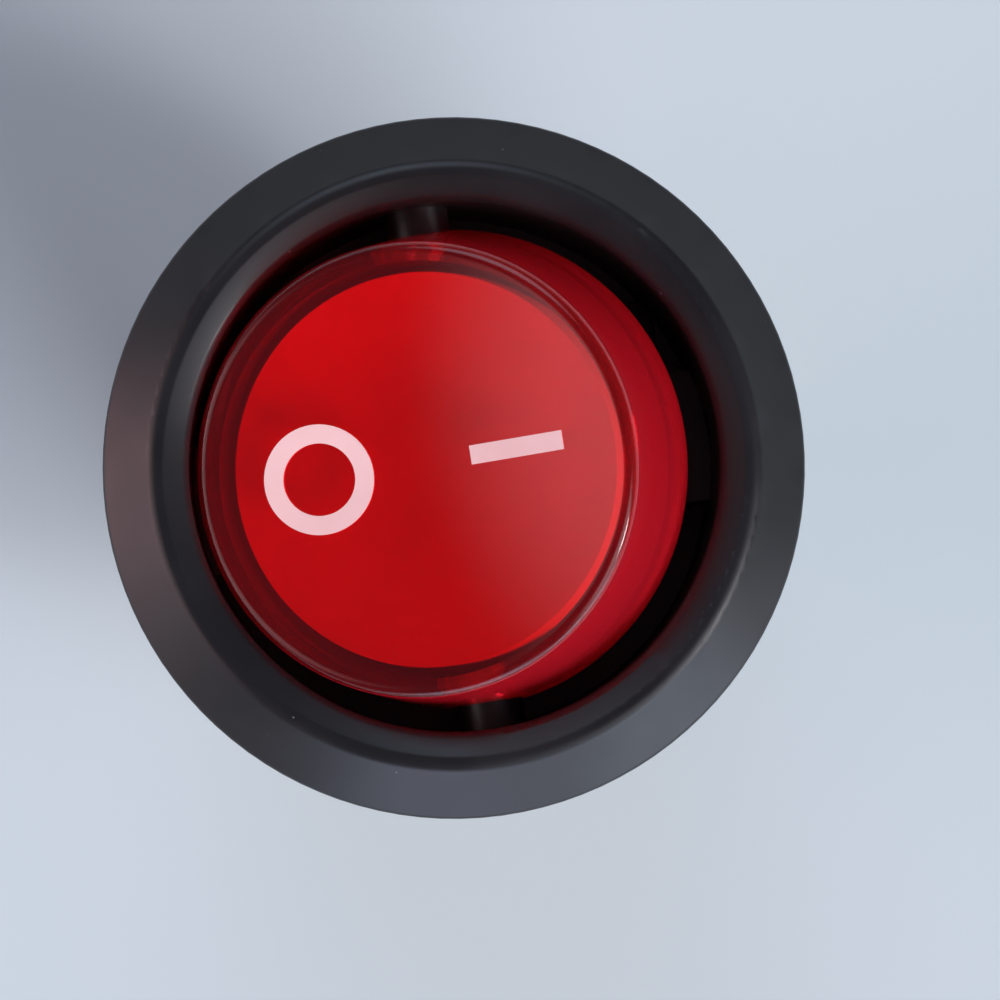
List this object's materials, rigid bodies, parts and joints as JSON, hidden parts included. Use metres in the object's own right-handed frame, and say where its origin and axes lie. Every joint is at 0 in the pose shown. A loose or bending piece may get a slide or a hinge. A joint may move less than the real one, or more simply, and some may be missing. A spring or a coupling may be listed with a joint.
{
  "type": "panel rocker switch",
  "caption": "Round snap-in panel rocker switch with a translucent red two-position rocker, a lamp inside and flat blade terminals under its barrel.",
  "frame": {"origin": "centre of the bezel's flat underside, which is the front surface of the panel it is fitted in", "axes": "+Z out of the panel towards the rocker, +X from the O mark to the I mark, +Y across the switch along the rocker's axle; the rocker rests with its O side pressed"},
  "size_m": [0.023, 0.023, 0.0283],
  "materials": {
    "black_moulding": "satin black moulding",
    "red_lens": "translucent red moulding",
    "white_nylon": "natural moulding",
    "mark_print": "white print",
    "spring_steel": "drawn wire",
    "copper_strip": "rolled copper alloy",
    "silver_contact": "silver alloy",
    "terminal_brass": "stamped brass",
    "lamp_glass": "clear",
    "resistor_body": "lacquered",
    "lead_wire": "tinned wire"
  },
  "bodies": {
    "base": {"housing": "black_moulding", "fixed_contact": "silver_contact", "terminal_common": "terminal_brass", "terminal_load": "terminal_brass", "terminal_lamp": "terminal_brass", "lamp_bulb": "lamp_glass", "lamp_electrodes": "lead_wire", "lamp_resistor": "resistor_body", "lamp_leads": "lead_wire"},
    "rocker": {"rocker_lens": "red_lens", "rocker_diffuser": "white_nylon", "rocker_frame": "black_moulding", "off_mark": "mark_print", "on_mark": "mark_print", "plunger_spring": "spring_steel"},
    "plunger": {"plunger": "white_nylon"},
    "rocking_contact": {"rocking_contact": "copper_strip", "moving_contact": "silver_contact"}
  },
  "joints": [
    {"name": "rocker_turn", "type": "hinge", "parent": "base", "child": "rocker", "pos_m": [0, 0, -0.0012], "axis": [0, 1, 0], "range_deg": [0, 32]},
    {"name": "contact_turn", "type": "hinge", "parent": "base", "child": "rocking_contact", "pos_m": [0, 0, -0.0104], "axis": [0, 1, 0], "range_deg": [-16, 0]},
    {"name": "plunger_slide", "type": "slide", "parent": "rocker", "child": "plunger", "axis": [-0.2756, 0, 0.9613], "range_m": [0, 0.0005], "stiffness_N_per_m": 400, "springref_m": -0.003, "deforming": ["plunger_spring"]}
  ],
  "couplings": [
    {"joint": "contact_turn", "follows": "rocker_turn", "ratio": -0.5}
  ]
}
